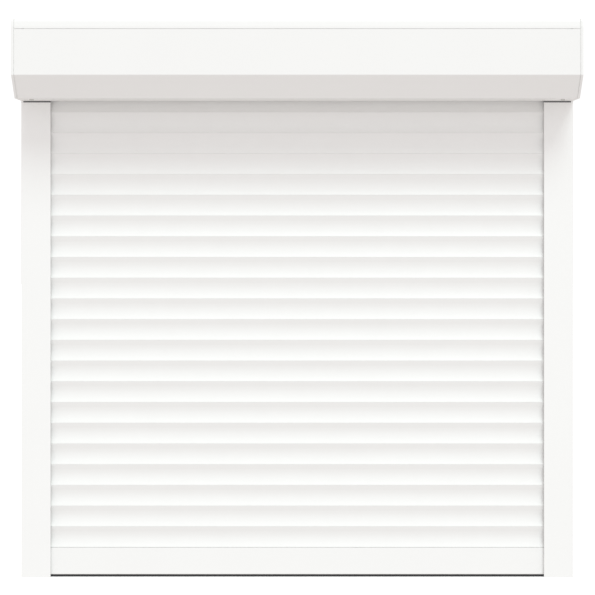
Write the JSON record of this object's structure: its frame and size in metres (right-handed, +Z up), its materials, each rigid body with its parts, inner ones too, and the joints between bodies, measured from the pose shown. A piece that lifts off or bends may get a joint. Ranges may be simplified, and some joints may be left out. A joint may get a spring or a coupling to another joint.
{
  "type": "exterior roller shutter",
  "caption": "Front-mounted roller shutter with a chamfered box, clip-cover guide rails, a curtain of hollow-faced hooked slats, a flat bottom bar and a tubular drive.",
  "frame": {"origin": "centre of the rectangle of four fixing screws in the guide rails' back walls, on the axis of the holes", "axes": "+X to the right seen from outside, +Y to the back, towards the wall, +Z up"},
  "size_m": [1, 0.137, 1.0002],
  "materials": {
    "box_paint": "white powder coat, satin",
    "cap_paint": "white powder coat on a casting, satin",
    "rail_paint": "white powder coat on an extrusion, satin",
    "bar_paint": "white powder coat on an extrusion, satin",
    "slat_pvc": "white extruded PVC, soft gloss",
    "white_plastic": "moulded, matt",
    "dark_plastic": "moulded, matt",
    "grey_nylon": "moulded, matt",
    "rail_seal": "soft grey strip",
    "black_rubber": "extruded, matt",
    "white_screw": "white lacquered head",
    "zinc_screw": "zinc plated",
    "rivet_aluminium": "bright",
    "galvanised_steel": "galvanised",
    "motor_enamel": "dark enamel",
    "spring_steel": "blued spring steel"
  },
  "bodies": {
    "root": {"box_rear_shell": "box_paint", "inspection_cover": "box_paint", "end_cap_left": "cap_paint", "end_cap_right": "cap_paint", "cable_grommet": "black_rubber", "cover_screws": "white_screw", "shell_rivets": "rivet_aluminium", "bracket_screws": "zinc_screw", "guide_rail_left": "rail_paint", "guide_rail_right": "rail_paint", "rail_cover_left": "rail_paint", "rail_cover_right": "rail_paint", "rail_seals_left": "rail_seal", "rail_seals_right": "rail_seal", "rail_foot_plug_left": "white_plastic", "rail_foot_plug_right": "white_plastic", "inlet_funnel_left": "dark_plastic", "inlet_funnel_right": "dark_plastic", "motor_bracket": "galvanised_steel", "motor_head": "dark_plastic", "motor_tube": "motor_enamel", "bearing_holder": "grey_nylon", "idler_bush": "grey_nylon"},
    "barrel": {"octagonal_barrel": "galvanised_steel", "motor_output_shaft": "galvanised_steel", "motor_drive_wheel": "grey_nylon", "motor_crown_ring": "grey_nylon", "idler_pin": "galvanised_steel", "idler_capsule": "grey_nylon", "barrel_screws": "zinc_screw", "hanger_bands": "spring_steel"},
    "bottom_bar": {"bottom_bar": "bar_paint", "bottom_bar_seal": "black_rubber", "bottom_bar_end_plugs": "white_plastic"},
    "slat_01": {"slat_01": "slat_pvc"},
    "slat_02": {"slat_02": "slat_pvc"},
    "slat_03": {"slat_03": "slat_pvc"},
    "slat_04": {"slat_04": "slat_pvc"},
    "slat_05": {"slat_05": "slat_pvc"},
    "slat_06": {"slat_06": "slat_pvc"},
    "slat_07": {"slat_07": "slat_pvc"},
    "slat_08": {"slat_08": "slat_pvc"},
    "slat_09": {"slat_09": "slat_pvc"},
    "slat_10": {"slat_10": "slat_pvc"},
    "slat_11": {"slat_11": "slat_pvc"},
    "slat_12": {"slat_12": "slat_pvc"},
    "slat_13": {"slat_13": "slat_pvc"},
    "slat_14": {"slat_14": "slat_pvc"},
    "slat_15": {"slat_15": "slat_pvc"},
    "slat_16": {"slat_16": "slat_pvc"},
    "slat_17": {"slat_17": "slat_pvc"},
    "slat_18": {"slat_18": "slat_pvc"},
    "slat_19": {"slat_19": "slat_pvc"},
    "slat_20": {"slat_20": "slat_pvc"},
    "slat_21": {"slat_21": "slat_pvc"},
    "slat_22": {"slat_22": "slat_pvc", "hanger_hooks": "spring_steel"}
  },
  "joints": [
    {"name": "barrel_turn", "type": "hinge", "parent": "root", "child": "barrel", "pos_m": [0, -0.0685, 0.5], "axis": [1, 0, 0], "range_deg": [0, 240], "deforming": ["hanger_bands"]},
    {"name": "bottom_bar_lift", "type": "slide", "parent": "root", "child": "bottom_bar", "axis": [0, 0, 1], "range_m": [0, 0.064]},
    {"name": "slat_01_lift", "type": "slide", "parent": "root", "child": "slat_01", "axis": [0, 0, 1], "range_m": [0, 0.066]},
    {"name": "slat_02_lift", "type": "slide", "parent": "root", "child": "slat_02", "axis": [0, 0, 1], "range_m": [0, 0.068]},
    {"name": "slat_03_lift", "type": "slide", "parent": "root", "child": "slat_03", "axis": [0, 0, 1], "range_m": [0, 0.07]},
    {"name": "slat_04_lift", "type": "slide", "parent": "root", "child": "slat_04", "axis": [0, 0, 1], "range_m": [0, 0.072]},
    {"name": "slat_05_lift", "type": "slide", "parent": "root", "child": "slat_05", "axis": [0, 0, 1], "range_m": [0, 0.074]},
    {"name": "slat_06_lift", "type": "slide", "parent": "root", "child": "slat_06", "axis": [0, 0, 1], "range_m": [0, 0.076]},
    {"name": "slat_07_lift", "type": "slide", "parent": "root", "child": "slat_07", "axis": [0, 0, 1], "range_m": [0, 0.078]},
    {"name": "slat_08_lift", "type": "slide", "parent": "root", "child": "slat_08", "axis": [0, 0, 1], "range_m": [0, 0.08]},
    {"name": "slat_09_lift", "type": "slide", "parent": "root", "child": "slat_09", "axis": [0, 0, 1], "range_m": [0, 0.082]},
    {"name": "slat_10_lift", "type": "slide", "parent": "root", "child": "slat_10", "axis": [0, 0, 1], "range_m": [0, 0.084]},
    {"name": "slat_11_lift", "type": "slide", "parent": "root", "child": "slat_11", "axis": [0, 0, 1], "range_m": [0, 0.086]},
    {"name": "slat_12_lift", "type": "slide", "parent": "root", "child": "slat_12", "axis": [0, 0, 1], "range_m": [0, 0.088]},
    {"name": "slat_13_lift", "type": "slide", "parent": "root", "child": "slat_13", "axis": [0, 0, 1], "range_m": [0, 0.09]},
    {"name": "slat_14_lift", "type": "slide", "parent": "root", "child": "slat_14", "axis": [0, 0, 1], "range_m": [0, 0.092]},
    {"name": "slat_15_lift", "type": "slide", "parent": "root", "child": "slat_15", "axis": [0, 0, 1], "range_m": [0, 0.094]},
    {"name": "slat_16_lift", "type": "slide", "parent": "root", "child": "slat_16", "axis": [0, 0, 1], "range_m": [0, 0.096]},
    {"name": "slat_17_lift", "type": "slide", "parent": "root", "child": "slat_17", "axis": [0, 0, 1], "range_m": [0, 0.098]},
    {"name": "slat_18_lift", "type": "slide", "parent": "root", "child": "slat_18", "axis": [0, 0, 1], "range_m": [0, 0.1]},
    {"name": "slat_19_lift", "type": "slide", "parent": "root", "child": "slat_19", "axis": [0, 0, 1], "range_m": [0, 0.102]},
    {"name": "slat_20_lift", "type": "slide", "parent": "root", "child": "slat_20", "axis": [0, 0, 1], "range_m": [0, 0.104]},
    {"name": "slat_21_lift", "type": "slide", "parent": "root", "child": "slat_21", "axis": [0, 0, 1], "range_m": [0, 0.106]},
    {"name": "slat_22_lift", "type": "slide", "parent": "root", "child": "slat_22", "axis": [0, 0, 1], "range_m": [0, 0.108]}
  ],
  "couplings": [
    {"joint": "bottom_bar_lift", "follows": "barrel_turn", "m_per_rad": 0.015279},
    {"joint": "slat_01_lift", "follows": "barrel_turn", "m_per_rad": 0.015756},
    {"joint": "slat_02_lift", "follows": "barrel_turn", "m_per_rad": 0.016234},
    {"joint": "slat_03_lift", "follows": "barrel_turn", "m_per_rad": 0.016711},
    {"joint": "slat_04_lift", "follows": "barrel_turn", "m_per_rad": 0.017189},
    {"joint": "slat_05_lift", "follows": "barrel_turn", "m_per_rad": 0.017666},
    {"joint": "slat_06_lift", "follows": "barrel_turn", "m_per_rad": 0.018144},
    {"joint": "slat_07_lift", "follows": "barrel_turn", "m_per_rad": 0.018621},
    {"joint": "slat_08_lift", "follows": "barrel_turn", "m_per_rad": 0.019099},
    {"joint": "slat_09_lift", "follows": "barrel_turn", "m_per_rad": 0.019576},
    {"joint": "slat_10_lift", "follows": "barrel_turn", "m_per_rad": 0.020054},
    {"joint": "slat_11_lift", "follows": "barrel_turn", "m_per_rad": 0.020531},
    {"joint": "slat_12_lift", "follows": "barrel_turn", "m_per_rad": 0.021008},
    {"joint": "slat_13_lift", "follows": "barrel_turn", "m_per_rad": 0.021486},
    {"joint": "slat_14_lift", "follows": "barrel_turn", "m_per_rad": 0.021963},
    {"joint": "slat_15_lift", "follows": "barrel_turn", "m_per_rad": 0.022441},
    {"joint": "slat_16_lift", "follows": "barrel_turn", "m_per_rad": 0.022918},
    {"joint": "slat_17_lift", "follows": "barrel_turn", "m_per_rad": 0.023396},
    {"joint": "slat_18_lift", "follows": "barrel_turn", "m_per_rad": 0.023873},
    {"joint": "slat_19_lift", "follows": "barrel_turn", "m_per_rad": 0.024351},
    {"joint": "slat_20_lift", "follows": "barrel_turn", "m_per_rad": 0.024828},
    {"joint": "slat_21_lift", "follows": "barrel_turn", "m_per_rad": 0.025306},
    {"joint": "slat_22_lift", "follows": "barrel_turn", "m_per_rad": 0.025783}
  ]
}
